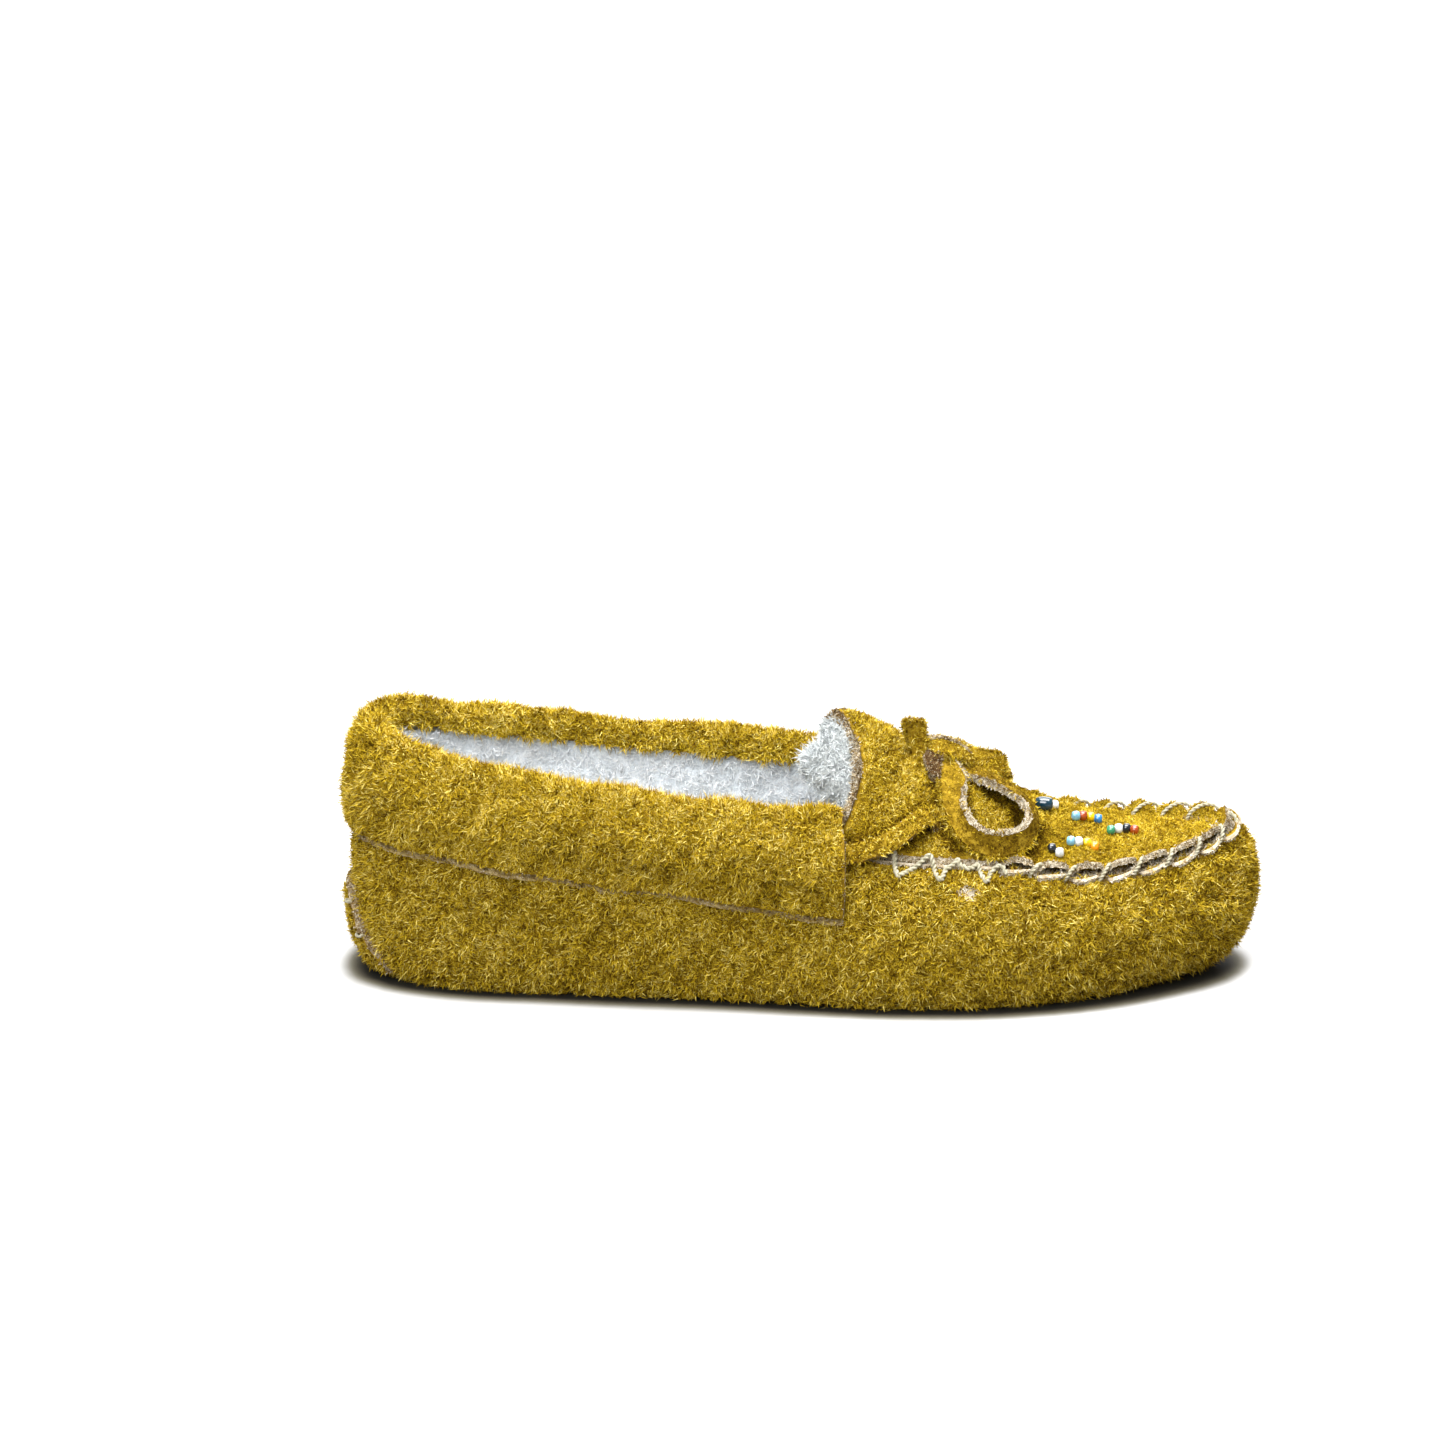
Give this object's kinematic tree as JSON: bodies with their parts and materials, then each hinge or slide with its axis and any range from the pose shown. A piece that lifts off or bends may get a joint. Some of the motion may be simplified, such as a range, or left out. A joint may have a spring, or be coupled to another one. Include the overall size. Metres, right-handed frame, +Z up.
{
  "type": "moccasin",
  "caption": "Soft suede moccasin with a fold-down cuff, fleece lining, a laced bow on the vamp and glass beads sewn on the apron.",
  "frame": {"origin": "on the floor under the middle of the shoe's box", "axes": "+X to the toe, -Y to the outer side of a right foot, +Z up"},
  "size_m": [0.2148, 0.0775, 0.0619],
  "materials": {
    "suede": "split suede with a long raised nap, mustard yellow, tan to grey-brown at its cut edges",
    "suede_lace": "flat suede lace with a short nap and pale grey cut edges",
    "fleece": "short cream-white fleece, brushed",
    "foam": "cream foam pad, covered by the fleece",
    "thread": "cream waxed thread, twisted",
    "glass_teal": "dark teal glass, glossy",
    "glass_white": "white glass, glossy",
    "glass_pale_blue": "pale blue glass, glossy",
    "glass_blue": "blue glass, glossy",
    "glass_red": "red-brown glass, glossy",
    "glass_orange": "orange glass, glossy",
    "glass_yellow": "yellow glass, glossy",
    "glass_green": "green glass, glossy",
    "glass_black": "black glass, glossy"
  },
  "bodies": {
    "shoe": {"sole_and_sides": "suede", "heel_tab": "suede", "cuff": "suede", "insole_foam": "foam", "insole_fleece": "fleece", "lining_sides": "fleece", "vamp_apron": "suede", "lining_vamp": "fleece", "collar_lace": "suede_lace", "bow_knot": "suede_lace", "side_thread_near": "thread", "side_thread_far": "thread", "apron_stitch_01": "thread", "apron_stitch_02": "thread", "apron_stitch_03": "thread", "apron_stitch_04": "thread", "apron_stitch_05": "thread", "apron_stitch_06": "thread", "apron_stitch_07": "thread", "apron_stitch_08": "thread", "apron_stitch_09": "thread", "apron_stitch_10": "thread", "apron_stitch_11": "thread", "apron_stitch_12": "thread", "apron_stitch_13": "thread", "apron_stitch_14": "thread", "apron_stitch_15": "thread", "heel_stitch_1": "thread", "heel_stitch_2": "thread", "heel_stitch_3": "thread", "heel_stitch_4": "thread", "bead_01": "glass_teal", "bead_02": "glass_white", "bead_03": "glass_pale_blue", "bead_04": "glass_red", "bead_05": "glass_yellow", "bead_06": "glass_blue", "bead_07": "glass_green", "bead_08": "glass_white", "bead_09": "glass_black", "bead_10": "glass_red", "bead_11": "glass_pale_blue", "bead_12": "glass_white", "bead_13": "glass_yellow", "bead_14": "glass_orange", "bead_15": "glass_black", "bead_16": "glass_white"},
    "tongue": {"tongue": "suede", "tongue_lining": "fleece"},
    "loop_near": {"bow_loop_near": "suede_lace"},
    "loop_far": {"bow_loop_far": "suede_lace"},
    "tail_near": {"bow_tail_near": "suede_lace"},
    "tail_far": {"bow_tail_far": "suede_lace"}
  },
  "joints": [
    {"name": "tongue_lift", "type": "hinge", "parent": "shoe", "child": "tongue", "pos_m": [0.027, 0, 0.0495], "axis": [0, 1, 0], "range_deg": [-7, 15]},
    {"name": "loop_near_lift", "type": "hinge", "parent": "shoe", "child": "loop_near", "pos_m": [0.036, -0.004, 0.049], "axis": [-0.8486, 0, 0.5291], "range_deg": [0, 35]},
    {"name": "loop_far_lift", "type": "hinge", "parent": "shoe", "child": "loop_far", "pos_m": [0.036, 0.004, 0.049], "axis": [0.8486, 0, -0.5291], "range_deg": [0, 35]},
    {"name": "tail_near_swing", "type": "hinge", "parent": "shoe", "child": "tail_near", "pos_m": [0.0296, -0.0046, 0.0536], "axis": [0, 1, 0], "range_deg": [-20, 20]},
    {"name": "tail_far_swing", "type": "hinge", "parent": "shoe", "child": "tail_far", "pos_m": [0.038, 0.0016, 0.0518], "axis": [0, 1, 0], "range_deg": [-30, 8]}
  ]
}
